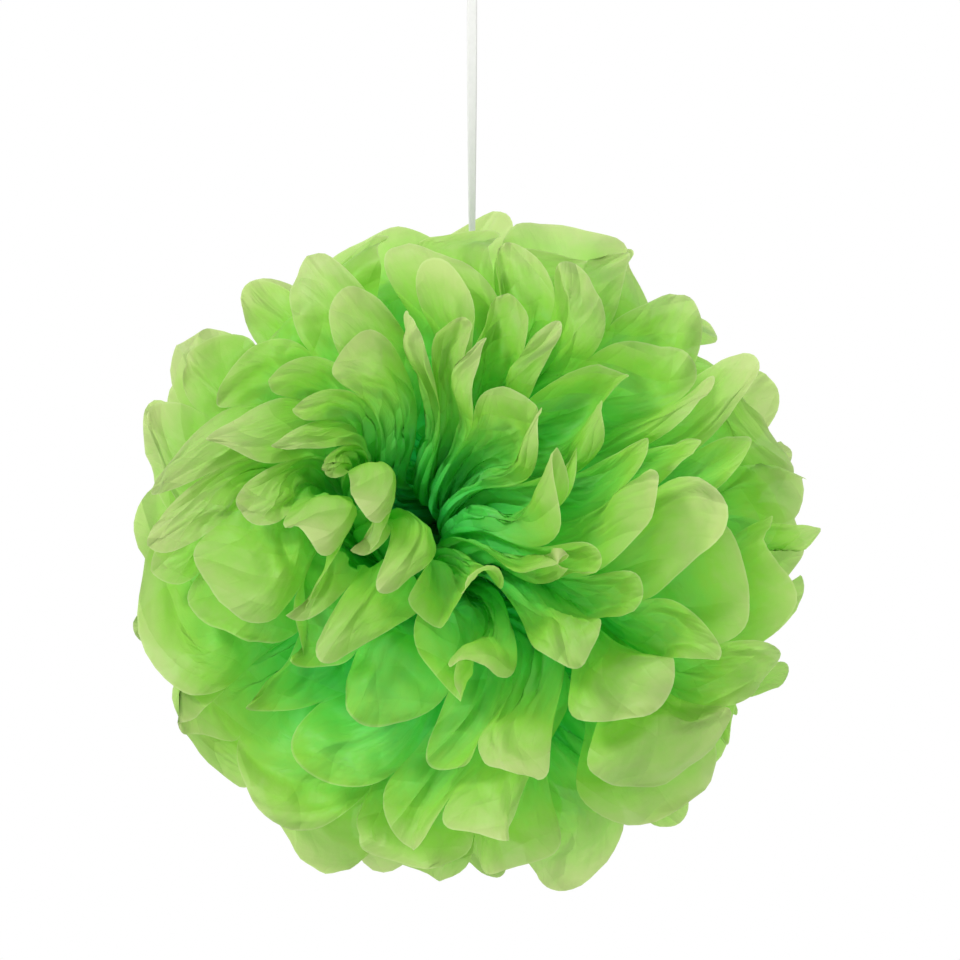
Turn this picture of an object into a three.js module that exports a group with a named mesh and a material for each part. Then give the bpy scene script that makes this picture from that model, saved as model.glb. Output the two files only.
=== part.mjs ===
// Tissue paper pom pom: a stack of sheets, fan folded, tied at the middle, cut round at both ends
// and fluffed into a ball that hangs on a ribbon.
// Millimetres, +Z up. The origin is where the hanging loop bears on its hook, and the ball's open face,
// where the petals part, looks to -Y.

import * as THREE from "three";
import { mergeVertices } from "three/addons/utils/BufferGeometryUtils.js";

const DEGREE = Math.PI / 180;

// The paper
const SHEETS = 10; // sheets in the folded stack
const PLEATS = 9; // panels that the fan fold makes of each sheet, each with a petal at both ends
const PLEAT_WIDTH = 70; // a panel's width, and so a petal's
const SHEET_LENGTH = 408; // from petal tip to petal tip, along the folds
const PAPER = 0.4; // a sheet's thickness as modelled
const LAYER_GAP = 1; // clear space between neighbours where the tie holds them

// The ribbon
const RIBBON_WIDTH = 6;
const RIBBON_THICKNESS = 0.5;
const RIBBON_CLEARANCE = 0.6; // from the ribbon to the paper at each side of the seam
const HANG_DROP = 371; // from the hook to the middle of the ball
const LOOP_HEIGHT = 34; // the hanging loop, from its knot to the hook
const LOOP_WIDTH = 15;
const KNOT_HEIGHT = 7;
const KNOT_DEPTH = 6;
const RIBBON_TWIST = 120 * DEGREE; // from the loop down to the tie

// The tie round the middle of the stack
const NECK_SPAN = 10; // width that each sheet is gathered to
const TIE_WALL = 2; // turns of ribbon round the stack
const TIE_KNOT_HEIGHT = 5;
const FIT_GAP = 0.3; // clear space between pieces that touch

// How the ball is fluffed: a lean is an angle from the axis of the open face
const FACE_TILT = 10 * DEGREE; // the whole ball is tilted, so that its open face looks up by this much
const FACE_RISE = 8 * DEGREE; // and its front is pushed up by this much more
const RISE_START = 20; // distance in front of the middle over which the rise sets in
const FACE_TWIST = 24 * DEGREE; // the front of the ball is turned this far one way, and its back the other
const TWIST_FREE = 8; // no twist this near the plane that the ribbon rises in
const TWIST_FULL = 60; // full twist from here on
const POLE_LEAN = 20 * DEGREE; // where the foremost sheet's petals end, seen from the tie
const FLARE = 72 * DEGREE; // how far petals half way to the ball's side bend over outwards
const FLARE_EVEN = 0.6; // under 1, so that petals near the open face's axis bend nearly as far
const FLARE_POWER = 2.2; // over 1, so most of the bend is near the petals' tips
const NECK_BEND = 22; // length over which a sheet turns to its lean
const SEAM_ANGLE = 2.5 * DEGREE; // from the seam between the two fans to the first fold
const FOLD_ROOM = 0.45; // share of a sheet's lean that its folds may take up
const LEAN_SPREAD = 8 * DEGREE; // most that a fold leans off its place
const FAN_SPREAD = 8 * DEGREE; // most that a fold turns off its place round the axis
const PETAL_BULGE = 12; // most that a petal is cupped, across its width
const TIP_CURL = 38 * DEGREE; // most that a petal's tip bends by itself
const CURL_LENGTH = 85; // length of petal that curls
const ARCH_SHARE = 0.8; // share of the fan fold that turns into arched petals
const ARCH_START = 0.4; // shares of the petals' reach between which it does
const ARCH_END = 0.95;
const ARCH_MOST = 16; // deepest arch
const ARCH_SPREAD = 0.3; // how much the arches differ from petal to petal
const CHANCE_START = 88.4; // another number makes another ball of the same kind
const TOGETHER = 0.8; // share of each of these that the sheets have in common, as they lie against each other
const SETTLE = 0.995; // the ball's height against its width, as it hangs
const SWAYS = [
  // Each sway slides the paper along one axis by an amount that depends on the other two, so sheets never cross
  { along: "z", waves: ["x", "y"], lengths: [260, 300], turns: [0.025, 0.1], reach: 18 },
  { along: "y", waves: ["x", "z"], lengths: [230, 250], turns: [0.625, 0.725], reach: 15 },
  { along: "x", waves: ["y", "z"], lengths: [330, 240], turns: [0.575, 0.55], reach: 18 },
  { along: "x", waves: ["y", "z"], lengths: [150, 170], turns: [0.925, 0.65], reach: 17 },
  { along: "z", waves: ["x", "y"], lengths: [160, 140], turns: [0, 0.875], reach: 13 },
  { along: "y", waves: ["x", "z"], lengths: [150, 140], turns: [0.3, 0.3], reach: 9 },
];
const SWAY_FREE = 20; // no sway this near the axis it slides along
const SWAY_FULL = 90; // full sway from here on

// What follows from those sizes
const HALF_TIE = RIBBON_WIDTH / 2 + RIBBON_CLEARANCE; // where the fans leave the tie, from the middle
const PETAL_REACH = SHEET_LENGTH / 2 - HALF_TIE; // from the tie to a petal's tip
const NOTCH_REACH = PETAL_REACH - PLEAT_WIDTH / 2; // from the tie to the notch between two petals
const LAYER_PITCH = PAPER + LAYER_GAP;
const STACK_DEPTH = SHEETS * LAYER_PITCH;
const FOLD_ANGLE = (Math.PI - 2 * SEAM_ANGLE) / PLEATS;
const ARCH_BEND = Math.sqrt(3) / 4; // a flat arch's depth over the width that it takes up
const KNOT_TOP = NECK_SPAN / 2 + FIT_GAP + TIE_WALL + TIE_KNOT_HEIGHT; // over the middle of the tie
const RIBBON_TOP = -LOOP_HEIGHT - KNOT_HEIGHT - FIT_GAP;
const RIBBON_FOOT = KNOT_TOP + FIT_GAP - HANG_DROP;

// How finely a petal is modelled
const PATH_STEPS = 24; // steps along a fold from the tie to the tip
const ROW_SHARES = [0.42, 0.76]; // rows between the neck and the notch
const TIP_SEGMENTS = 6; // straight edges round a petal's tip
const NUDGE = 0.01; // small step that gives the paper's slope
const RIBBON_STEPS = 24;
const LOOP_STEPS = 28;

const paperMaterial = new THREE.MeshStandardMaterial({ color: 0x86c440, roughness: 0.85, side: THREE.DoubleSide });
const ribbonMaterial = new THREE.MeshStandardMaterial({ color: 0xf0f0ec, roughness: 0.45 });

// The same number from -1 to 1 each time for the same keys
function chance(...keys) {
  const mixed = keys.reduce((sum, key, place) => sum + key * (12.9898 + 65.233 * place), CHANCE_START);
  const wild = Math.sin(mixed) * 43758.5453;
  return 2 * (wild - Math.floor(wild)) - 1;
}

function mix(a, b, share) {
  return a + (b - a) * share;
}

// A sheet's own share of chance over what all sheets have in common there
function chanceOf(sheet, side, place, kind) {
  return mix(chance(sheet, side, place, kind), chance(side, place, kind), TOGETHER);
}

// Values at the folds, joined by straight lines across each panel
function alongFolds(u, valueAt) {
  const fold = Math.min(Math.floor(u), PLEATS - 1);
  return mix(valueAt(fold), valueAt(fold + 1), u - fold);
}

// The fan fold: 1 at even folds, -1 at odd ones
function zigzag(u) {
  return alongFolds(u, (fold) => (fold % 2 === 0 ? 1 : -1));
}

// Across a petal, from -1 at one fold to 1 at the next
function acrossPetal(u) {
  const fold = Math.min(Math.floor(u), PLEATS - 1);
  return 2 * (u - fold) - 1;
}

// Where a sheet's petals end, seen from the tie: the sheets share the ball out evenly
function tipLean(sheet) {
  return mix(POLE_LEAN, Math.PI - POLE_LEAN, sheet / (SHEETS - 1));
}

// Petals bend over outwards, most between the open face and the ball's side
function flareOf(sheet) {
  const between = Math.sin(2 * tipLean(sheet)); // 0 at the ball's side, where it changes sign
  return FLARE * Math.sign(between) * Math.abs(between) ** FLARE_EVEN;
}

// A sheet's lean as it leaves the tie, before its folds
function rootLean(sheet) {
  return tipLean(sheet) - flareOf(sheet) / (FLARE_POWER + 1);
}

function flareLean(sheet, s) {
  return flareOf(sheet) * (s / PETAL_REACH) ** FLARE_POWER;
}

// Half the angle that the fan fold takes up, on average, for a panel to be as wide as it was folded
function fullFoldLean(sheet) {
  let out = 0;
  const step = PETAL_REACH / PATH_STEPS;
  for (let k = 0; k < PATH_STEPS; k += 1) {
    out += Math.sin(rootLean(sheet) + flareLean(sheet, (k + 0.5) * step)) * step;
  }
  const opened = out * FOLD_ANGLE;
  return Math.sqrt(Math.max(0, PLEAT_WIDTH ** 2 - opened ** 2)) / PETAL_REACH / 2;
}

// That angle near the tie, where the sheets close to the axis have little room, and what it grows by to the tips
const foldLeans = Array.from({ length: SHEETS }, (_, sheet) => {
  const full = fullFoldLean(sheet);
  const near = Math.min(full, FOLD_ROOM * Math.min(rootLean(sheet), Math.PI - rootLean(sheet)));
  return { near, growth: 2 * (full - near) };
});

// The share of the fan fold's width that has turned into arches, s along the fold
function archShare(s) {
  return THREE.MathUtils.smoothstep(s / PETAL_REACH, ARCH_START, ARCH_END);
}

// How far a fold stands off the middle of its sheet, and the lean that this takes
function foldDepth(sheet, s) {
  const { near, growth } = foldLeans[sheet];
  return (near + (growth * s) / PETAL_REACH / 2) * s * (1 - ARCH_SHARE * archShare(s));
}

function foldLean(sheet, s) {
  return (foldDepth(sheet, s + NUDGE) - foldDepth(sheet, s - NUDGE)) / (2 * NUDGE);
}

function leanAt(sheet, side, u, s) {
  const most = LEAN_SPREAD * Math.sin(tipLean(sheet));
  const spread = alongFolds(u, (fold) => chanceOf(sheet, side, fold, 1)) * most;
  const folded = rootLean(sheet) + zigzag(u) * foldLean(sheet, s) + spread;
  const turned = mix(Math.PI / 2, folded, THREE.MathUtils.smoothstep(s, 0, NECK_BEND));
  const petal = Math.min(Math.floor(u), PLEATS - 1);
  const free = Math.max(0, 1 - (PETAL_REACH - s) / CURL_LENGTH);
  const curl = chanceOf(sheet, side, petal, 2) * TIP_CURL * free ** 2 * (1 - acrossPetal(u) ** 2);
  return turned + flareLean(sheet, s) + curl;
}

// The angle round the open face's axis, from straight up at one end of a fan to straight down at the other
function fanAngle(sheet, side, u) {
  const spread = alongFolds(u, (fold) => (fold % PLEATS === 0 ? 0 : chanceOf(sheet, side, fold, 3)));
  return Math.PI / 2 - SEAM_ANGLE - u * FOLD_ANGLE + spread * FAN_SPREAD;
}

// A point of a folded sheet, s along the fold line u of one fan: x across, y up and z out of the open face
function foldedPoint(sheet, side, u, s) {
  const angle = fanAngle(sheet, side, u);
  const across = new THREE.Vector2(side * Math.cos(angle), Math.sin(angle));
  const point = new THREE.Vector3(
    side * HALF_TIE,
    (0.5 - u / PLEATS) * NECK_SPAN,
    ((SHEETS - 1) / 2 - sheet) * LAYER_PITCH,
  );
  const step = s / PATH_STEPS;
  for (let k = 0; k < PATH_STEPS; k += 1) {
    const lean = leanAt(sheet, side, u, (k + 0.5) * step);
    point.x += Math.sin(lean) * across.x * step;
    point.y += Math.sin(lean) * across.y * step;
    point.z += Math.cos(lean) * step;
  }
  return point;
}

// The paper's normal on that sheet, out of the open face
function foldedNormal(sheet, side, u, s) {
  const petal = Math.min(Math.floor(u), PLEATS - 1);
  const low = Math.max(petal, u - NUDGE);
  const high = Math.min(petal + 1, u + NUDGE);
  const across = foldedPoint(sheet, side, high, s).sub(foldedPoint(sheet, side, low, s));
  const along = foldedPoint(sheet, side, u, s + NUDGE).sub(foldedPoint(sheet, side, u, s - NUDGE));
  return across.cross(along).normalize().multiplyScalar(side);
}

// The width that a petal's folds leave over is taken up by an arch, in front of them and behind them by turns
function archDepth(sheet, side, petal, s) {
  const chord = foldedPoint(sheet, side, petal, s).distanceTo(foldedPoint(sheet, side, petal + 1, s));
  const spare = Math.sqrt(Math.max(0, PLEAT_WIDTH ** 2 - chord ** 2));
  const lift = 1 - ARCH_SPREAD / 2 + ARCH_SPREAD * chance(side, petal, 6);
  const arch = Math.min(ARCH_MOST, ARCH_BEND * spare) * archShare(s) * lift;
  return petal % 2 === 0 ? arch : -arch;
}

// Cups each petal: the middle of its width stands out of, or into, the line between its folds
function cuppedPoint(sheet, side, u, s) {
  const point = foldedPoint(sheet, side, u, s);
  const middle = 1 - acrossPetal(u) ** 2;
  if (middle === 0 || s === 0) return point;
  const petal = Math.min(Math.floor(u), PLEATS - 1);
  const cup = PETAL_BULGE * chanceOf(sheet, side, petal, 4) * (s / PETAL_REACH) ** 2;
  const depth = (cup + archDepth(sheet, side, petal, s)) * middle;
  return point.addScaledVector(foldedNormal(sheet, side, u, s), depth);
}

// Turns the ball about its level axis, front one way and back the other, so that the seam winds
function twist(point) {
  const share = THREE.MathUtils.smoothstep(Math.abs(point.y), TWIST_FREE, TWIST_FULL);
  return point.applyAxisAngle(new THREE.Vector3(0, 1, 0), FACE_TWIST * share * Math.sign(point.y));
}

// Pushes the front of the ball up
function rise(point) {
  const ahead = Math.max(0, -point.y);
  point.z += (Math.tan(FACE_RISE) * ahead ** 2) / (ahead + RISE_START);
  return point;
}

function sway(point) {
  for (const { along, waves, lengths, turns, reach } of SWAYS) {
    const away = Math.hypot(point[waves[0]], point[waves[1]]);
    const share = THREE.MathUtils.smoothstep(away, SWAY_FREE, SWAY_FULL);
    const first = Math.sin(2 * Math.PI * (point[waves[0]] / lengths[0] + turns[0]));
    const second = Math.sin(2 * Math.PI * (point[waves[1]] / lengths[1] + turns[1]));
    point[along] += reach * share * first * second;
  }
  return point;
}

// A point of the fluffed ball, from the middle of its tie
function paperPoint(sheet, side, u, s) {
  const point = cuppedPoint(sheet, side, u, s);
  point.applyAxisAngle(new THREE.Vector3(1, 0, 0), Math.PI / 2 - FACE_TILT);
  sway(rise(twist(point)));
  point.z *= SETTLE;
  return point;
}

// Points (v across, s along) and triangles of one panel, from the tie to its round tip
function panelPattern() {
  const points = [[-1, 0], [1, 0]];
  const rows = [NECK_BEND, ...ROW_SHARES.map((share) => share * NOTCH_REACH)];
  for (const s of rows) points.push([-1, s], [0, s], [1, s]);
  const triangles = [[0, 3, 2], [0, 1, 3], [1, 4, 3]];
  for (let row = 1; row < rows.length; row += 1) {
    for (const column of [0, 1]) {
      const near = 2 + (row - 1) * 3 + column;
      triangles.push([near, near + 1, near + 4], [near, near + 4, near + 3]);
    }
  }
  const last = points.length - 3;
  const middle = points.push([0, NOTCH_REACH]) - 1;
  const rim = [last, last + 1, last + 2];
  for (let k = 0; k <= TIP_SEGMENTS; k += 1) {
    const angle = (k / TIP_SEGMENTS) * Math.PI;
    rim.push(points.push([Math.cos(angle), NOTCH_REACH + (PLEAT_WIDTH / 2) * Math.sin(angle)]) - 1);
  }
  rim.forEach((corner, k) => triangles.push([middle, corner, rim[(k + 1) % rim.length]]));
  return { points, triangles };
}

// One sheet as a surface: a fan at each side of the tie and the gathered neck between them
function sheetSurface(sheet) {
  const { points, triangles } = panelPattern();
  const positions = [];
  const faces = [];
  const addPoint = (point) => positions.push(point.x, point.y, point.z) / 3 - 1;
  for (const side of [-1, 1]) {
    for (let petal = 0; petal < PLEATS; petal += 1) {
      const corners = points.map(([v, s]) => addPoint(paperPoint(sheet, side, petal + (v + 1) / 2, s)));
      for (const [a, b, c] of triangles) {
        faces.push(corners[a], corners[side > 0 ? b : c], corners[side > 0 ? c : b]);
      }
    }
  }
  for (let petal = 0; petal < PLEATS; petal += 1) {
    const [farLeft, farRight, nearRight, nearLeft] = [[-1, 1], [1, 1], [1, 0], [-1, 0]].map(([side, more]) =>
      addPoint(paperPoint(sheet, side, petal + more, 0)),
    );
    faces.push(farLeft, farRight, nearRight, farLeft, nearRight, nearLeft);
  }
  const surface = new THREE.BufferGeometry();
  surface.setAttribute("position", new THREE.Float32BufferAttribute(positions, 3));
  surface.setIndex(faces);
  return mergeVertices(surface, 1e-3);
}

// Gives a surface its thickness: a face at each side of it and a wall round its edge
function thicken(surface, thickness) {
  surface.computeVertexNormals();
  const place = surface.attributes.position;
  const normal = surface.attributes.normal;
  const index = Array.from(surface.index.array);
  const positions = [];
  for (const offset of [thickness / 2, -thickness / 2]) {
    for (let i = 0; i < place.count; i += 1) {
      const point = new THREE.Vector3().fromBufferAttribute(place, i);
      point.addScaledVector(new THREE.Vector3().fromBufferAttribute(normal, i), offset);
      positions.push(point.x, point.y, point.z);
    }
  }
  const below = place.count;
  const faces = [];
  const edges = new Set();
  for (let i = 0; i < index.length; i += 3) {
    const [a, b, c] = index.slice(i, i + 3);
    faces.push(a, b, c, a + below, c + below, b + below);
    for (const [from, to] of [[a, b], [b, c], [c, a]]) {
      if (!edges.delete(`${to} ${from}`)) edges.add(`${from} ${to}`);
    }
  }
  for (const edge of edges) {
    const [from, to] = edge.split(" ").map(Number);
    faces.push(to, from, from + below, to, from + below, to + below);
  }
  const solid = new THREE.BufferGeometry();
  solid.setAttribute("position", new THREE.Float32BufferAttribute(positions, 3));
  solid.setIndex(faces);
  solid.computeVertexNormals();
  return solid;
}

function named(name, geometry, material) {
  const mesh = new THREE.Mesh(geometry, material);
  mesh.name = name;
  return mesh;
}

// The tie: turns of ribbon round the gathered necks, with its knot above them, in the stack's own axes
function centreTie() {
  const halfSpan = NECK_SPAN / 2 + FIT_GAP;
  const halfDepth = STACK_DEPTH / 2 + FIT_GAP;
  const outerSpan = halfSpan + TIE_WALL;
  const outerDepth = halfDepth + TIE_WALL;
  const knotHalf = KNOT_DEPTH / 2;
  const outline = new THREE.Shape()
    .moveTo(-outerDepth, 0)
    .quadraticCurveTo(-outerDepth, -outerSpan, -knotHalf, -outerSpan)
    .lineTo(knotHalf, -outerSpan)
    .quadraticCurveTo(outerDepth, -outerSpan, outerDepth, 0)
    .quadraticCurveTo(outerDepth, outerSpan, knotHalf, outerSpan)
    .bezierCurveTo(KNOT_DEPTH, KNOT_TOP, knotHalf, KNOT_TOP, 0, KNOT_TOP)
    .bezierCurveTo(-knotHalf, KNOT_TOP, -KNOT_DEPTH, KNOT_TOP, -knotHalf, outerSpan)
    .quadraticCurveTo(-outerDepth, outerSpan, -outerDepth, 0);
  const opening = [
    [-halfDepth, -halfSpan],
    [-halfDepth, halfSpan],
    [halfDepth, halfSpan],
    [halfDepth, -halfSpan],
  ].map(([across, up]) => new THREE.Vector2(across, up));
  outline.holes.push(new THREE.Path(opening));
  const band = new THREE.ExtrudeGeometry(outline, { depth: RIBBON_WIDTH, bevelEnabled: false, curveSegments: 6 });
  band.translate(0, 0, -RIBBON_WIDTH / 2);
  return band.rotateY(-Math.PI / 2).rotateX(Math.PI / 2 - FACE_TILT);
}

// The ribbon up through the seam, turning slowly about its own length
function hangingRibbon() {
  const length = RIBBON_TOP - RIBBON_FOOT;
  const strip = new THREE.BoxGeometry(RIBBON_WIDTH, RIBBON_THICKNESS, length, 2, 1, RIBBON_STEPS);
  const place = strip.attributes.position;
  for (let i = 0; i < place.count; i += 1) {
    const point = new THREE.Vector3().fromBufferAttribute(place, i);
    const down = 0.5 - point.z / length;
    point.applyAxisAngle(new THREE.Vector3(0, 0, 1), down * RIBBON_TWIST);
    place.setXYZ(i, point.x, point.y, point.z);
  }
  strip.translate(0, 0, (RIBBON_TOP + RIBBON_FOOT) / 2);
  strip.computeVertexNormals();
  return strip;
}

// The knotted loop that hangs on the hook: a drop shape round its opening, over the knot
function hangingLoop() {
  const dropPoint = (turn, wall) => {
    const sideways = 1.3 * Math.sin(turn) * Math.sin(turn / 2);
    const up = (-1 - Math.cos(turn)) / 2;
    return new THREE.Vector2((LOOP_WIDTH / 2 + wall) * sideways, LOOP_HEIGHT * up + wall * (1 + 2 * up));
  };
  const turns = Array.from({ length: LOOP_STEPS - 1 }, (_, k) => (2 * Math.PI * (k + 1)) / LOOP_STEPS);
  const knot = [
    [-0.5, 0],
    [-0.4, -0.75],
    [-0.2, -1],
    [0.2, -1],
    [0.4, -0.75],
    [0.5, 0],
    [0.4, 0.3],
  ].map(([across, up]) => new THREE.Vector2(KNOT_DEPTH * across, KNOT_HEIGHT * up - LOOP_HEIGHT));
  const first = new THREE.Vector2(-knot[6].x, knot[6].y);
  const rim = turns.slice(1, -1).map((turn) => dropPoint(turn, RIBBON_THICKNESS));
  const outline = new THREE.Shape([first, ...knot, ...rim]);
  outline.holes.push(new THREE.Path(turns.map((turn) => dropPoint(turn, 0)).reverse()));
  const loop = new THREE.ExtrudeGeometry(outline, { depth: RIBBON_WIDTH, bevelEnabled: false });
  loop.translate(0, 0, -RIBBON_WIDTH / 2);
  return loop.rotateY(Math.PI / 2).rotateX(Math.PI / 2);
}

const pomPom = new THREE.Group();
const ball = new THREE.Group();
ball.position.z = -HANG_DROP;
pomPom.add(ball);
for (let sheet = 0; sheet < SHEETS; sheet += 1) {
  ball.add(named(`tissue_sheet_${sheet + 1}`, thicken(sheetSurface(sheet), PAPER), paperMaterial));
}
ball.add(named("centre_tie", centreTie(), ribbonMaterial));
pomPom.add(named("hanging_ribbon", hangingRibbon(), ribbonMaterial));
pomPom.add(named("hanging_loop", hangingLoop(), ribbonMaterial));

export default pomPom;
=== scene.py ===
# %% [markdown]
# # A tissue paper pom pom
#
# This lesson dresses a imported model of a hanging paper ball. The model holds ten folded sheets, the tie round
# their middle, and the ribbon that they hang on. Here each sheet becomes real tissue: thin, crinkled, round at
# its cut ends and lit from both sides, because light goes through it.

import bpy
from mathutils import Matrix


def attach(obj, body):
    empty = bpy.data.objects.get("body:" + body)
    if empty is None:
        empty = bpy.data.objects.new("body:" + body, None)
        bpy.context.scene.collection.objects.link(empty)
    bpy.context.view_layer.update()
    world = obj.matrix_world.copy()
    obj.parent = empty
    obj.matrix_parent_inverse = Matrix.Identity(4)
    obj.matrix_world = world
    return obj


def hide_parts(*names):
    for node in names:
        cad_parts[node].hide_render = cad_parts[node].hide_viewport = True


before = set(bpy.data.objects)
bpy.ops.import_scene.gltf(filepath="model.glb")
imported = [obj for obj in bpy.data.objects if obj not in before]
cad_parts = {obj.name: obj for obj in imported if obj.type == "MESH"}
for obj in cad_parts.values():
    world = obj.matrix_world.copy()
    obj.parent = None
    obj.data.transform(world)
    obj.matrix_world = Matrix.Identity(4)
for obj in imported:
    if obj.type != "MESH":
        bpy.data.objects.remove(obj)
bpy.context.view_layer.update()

# %% Imports
import math

import bpy
import numpy as np

MM = 0.001  # sizes are in millimetres up to the meshes; meshes and node trees are in metres
TINY = 1e-9  # keeps a length that is divided by from being zero
SCENE = bpy.context.scene
print("Blender", bpy.app.version_string)

# %% [markdown]
# ## The camera
#
# The photograph is taken level with the ball, from far enough away that its petals are hardly foreshortened.
# A long lens does the same. One pixel's size follows from the ball's width, and the camera looks at the point
# that lies in the middle of the picture.

# %% Camera
PICTURE = 960  # pixels each way
PIXEL = 0.589  # millimetres at the middle of the ball
RIBBON_COLUMN = 472  # where the ribbon stands in the picture
TOP_EDGE = -45.0  # height of the picture's top edge: the hanging loop is above it
CAMERA_AWAY = 3200.0
SENSOR = 36.0


def add_camera():
    data = bpy.data.cameras.new("camera")
    data.sensor_width = SENSOR
    data.lens = SENSOR * CAMERA_AWAY / (PICTURE * PIXEL)
    camera = bpy.data.objects.new("camera", data)
    middle = PICTURE / 2
    beside, height = (middle - RIBBON_COLUMN) * PIXEL, TOP_EDGE - middle * PIXEL
    camera.location = (beside * MM, -CAMERA_AWAY * MM, height * MM)
    camera.rotation_euler = (math.pi / 2, 0, 0)
    SCENE.collection.objects.link(camera)
    SCENE.camera = camera
    return camera


print("camera lens", round(add_camera().data.lens, 1), "mm")

# %% [markdown]
# ## How a sheet is folded
#
# Ten sheets are stacked, fan folded into nine pleats, tied across the middle, cut round at both ends and pulled
# apart. So every sheet is two fans that meet at the tie. A place on a fan is given by two numbers: `u`, which
# counts folds from the top of the fan to its bottom, and `s`, the distance from the tie along the fold.
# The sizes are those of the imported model, so the tissue lies where its solids are.

# %% Sizes of the paper
SHEETS = 10
PLEATS = 9
PLEAT_WIDTH = 70.0
SHEET_LENGTH = 408.0
LAYER_PITCH = 1.4  # from sheet to sheet, where the tie holds them
HALF_TIE = 3.6  # where the fans leave the tie
NECK_SPAN = 10.0  # width that each sheet is gathered to
HANG_DROP = 371.0  # from the hook to the middle of the ball
PETAL_REACH = SHEET_LENGTH / 2 - HALF_TIE
NOTCH_REACH = PETAL_REACH - PLEAT_WIDTH / 2
FLAT_WIDTH = PLEATS * PLEAT_WIDTH
CORNER_CUT = (1 - math.pi / 4) * PLEAT_WIDTH**2 / 2  # paper cut off at one end of one pleat
FLAT_AREA = FLAT_WIDTH * SHEET_LENGTH - 2 * PLEATS * CORNER_CUT
print("each sheet is cut from", FLAT_WIDTH, "by", SHEET_LENGTH, "mm and keeps", round(FLAT_AREA / 1e6, 4), "m2")

# %% [markdown]
# ## How far it is fluffed
#
# Hands lift the sheets off the stack one by one, open their petals and turn the ball about. A cloth simulation
# could do that, but ten sheets that touch would take it long, and it would not end where the solids are. Plain
# measures for each movement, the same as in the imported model, keep every petal in its place.

# %% Fluffing
FACE_TILT = math.radians(10)  # of the ball's open face
FACE_RISE = math.radians(8)  # how steeply its front is pushed up
RISE_START = 20.0
FACE_TWIST = math.radians(24)  # of the front against the back
TWIST_FREE, TWIST_FULL = 8.0, 60.0  # from the middle, where the twist starts and where it is whole
POLE_LEAN = math.radians(20)  # of the first sheet from the axis of the open face
FLARE = math.radians(72)  # how far sheets bend over outwards
FLARE_POWER = 2.2
FLARE_EVEN = 0.6  # below 1, sheets at the front and nearer the side flare more alike
NECK_BEND = 22.0  # length over which a sheet turns to its lean
SEAM_ANGLE = math.radians(2.5)  # left open between the two fans
FOLD_ROOM = 0.45  # share of a sheet's lean that the fan fold may take near the tie
LEAN_SPREAD = math.radians(8)  # chance in a fold's lean
FAN_SPREAD = math.radians(8)  # and in its angle in the fan
PETAL_BULGE = 12.0  # chance in how far a petal bulges
TIP_CURL = math.radians(38)  # and in how far its tip curls
CURL_LENGTH = 85.0
SETTLE = 0.995  # share of its height that the ball keeps
SWAYS = [
    # axis that slides, the two it depends on, wave lengths, turns and reach
    (2, (0, 1), (260.0, 300.0), (0.025, 0.1), 18.0),
    (1, (0, 2), (230.0, 250.0), (0.625, 0.725), 15.0),
    (0, (1, 2), (330.0, 240.0), (0.575, 0.55), 18.0),
    (0, (1, 2), (150.0, 170.0), (0.925, 0.65), 17.0),
    (2, (0, 1), (160.0, 140.0), (0, 0.875), 13.0),
    (1, (0, 2), (150.0, 140.0), (0.3, 0.3), 9.0),
]
SWAY_FREE, SWAY_FULL = 20.0, 90.0  # from the tie, which the waves leave alone
ARCH_SHARE = 0.8  # share of the fan fold that turns into arched petals
ARCH_MOST = 16.0  # deepest arch
ARCH_GROWS = (0.4, 0.95)  # and the shares of the reach between which it does
FOLD_ANGLE = (math.pi - 2 * SEAM_ANGLE) / PLEATS
print("a pleat takes up", round(math.degrees(FOLD_ANGLE), 1), "degrees of its fan")

# %% [markdown]
# ## Chance that repeats
#
# Hands fluff the ball in no set order, but a script should make the same ball each time. A sine of large
# numbers gives values that look random and depend only on their keys. Neighbouring sheets lie against each
# other, so a good part of each value is shared by all of them.

# %% Chance
CHANCE_START = 88.4  # another number makes another ball of the same kind
FIRST_KEY, NEXT_KEY = 12.9898, 65.233  # what the first key counts for, and how much more each next one does
WILD = 43758.5453  # the sine is stretched by this, and only its decimals are kept
TOGETHER = 0.8  # share of a value that all sheets have in common
# the last key says what a value is drawn for
LEAN_DRAW, CURL_DRAW, TURN_DRAW, CUP_DRAW, BEND_DRAW, LIFT_DRAW = 1, 2, 3, 4, 5, 6
CREASE_DRAWS = 11  # the first of three for each crease
PAINTED_LIGHT_DRAW = 30


def chance(*keys):
    mixed = CHANCE_START + sum(key * (FIRST_KEY + NEXT_KEY * place) for place, key in enumerate(keys))
    wild = math.sin(mixed) * WILD
    return 2 * (wild - math.floor(wild)) - 1


def chance_of(sheet, side, place, kind):
    own, shared = chance(sheet, side, place, kind), chance(side, place, kind)
    return own + (shared - own) * TOGETHER


def smoothstep(x, low, high):
    t = np.clip((x - low) / (high - low), 0, 1)
    return t * t * (3 - 2 * t)


print("first petals' shares of the curl:", [round(chance_of(0, 1, petal, CURL_DRAW), 2) for petal in range(3)])

# %% [markdown]
# ## Where the paper runs
#
# A sheet's lean is its angle from the axis of the ball's open face. It leaves the tie sideways, turns to its
# own lean, follows the fan fold from pleat to pleat, and bends over outwards towards its petals.

# %% Leans
LEAN_STEPS = 24  # steps of the sum that finds how far out a sheet's tips are


def tip_lean(sheet):
    return POLE_LEAN + (math.pi - 2 * POLE_LEAN) * sheet / (SHEETS - 1)


def flare_of(sheet):
    between = math.sin(2 * tip_lean(sheet))  # 0 at the ball's side, and changes sign there
    return FLARE * math.copysign(abs(between) ** FLARE_EVEN, between)


def root_lean(sheet):
    return tip_lean(sheet) - flare_of(sheet) / (FLARE_POWER + 1)


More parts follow.
